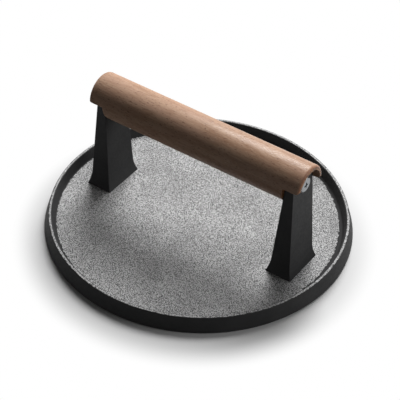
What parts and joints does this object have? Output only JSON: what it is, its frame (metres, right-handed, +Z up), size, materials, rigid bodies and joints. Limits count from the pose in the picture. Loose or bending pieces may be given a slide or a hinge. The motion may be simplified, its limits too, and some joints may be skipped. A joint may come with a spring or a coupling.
{
  "type": "burger press",
  "caption": "Round cast-iron burger press: a flat plate with a raised rim, and a wood handle screwed between upright posts that are cast with the plate.",
  "frame": {"origin": "centre of the plate's flat underside", "axes": "+X along the handle from post to post, +Z up from the plate to the handle"},
  "size_m": [0.178, 0.178, 0.0752],
  "materials": {
    "black_iron": "sand-cast, seasoned satin black",
    "oiled_wood": "oiled, fine straight grain",
    "zinc_steel": "bright zinc plated",
    "brass": "plain turned"
  },
  "bodies": {
    "root": {"press_casting": "black_iron", "wood_handle": "oiled_wood", "screw_left": "zinc_steel", "screw_right": "zinc_steel", "insert_left": "brass", "insert_right": "brass"}
  },
  "joints": []
}
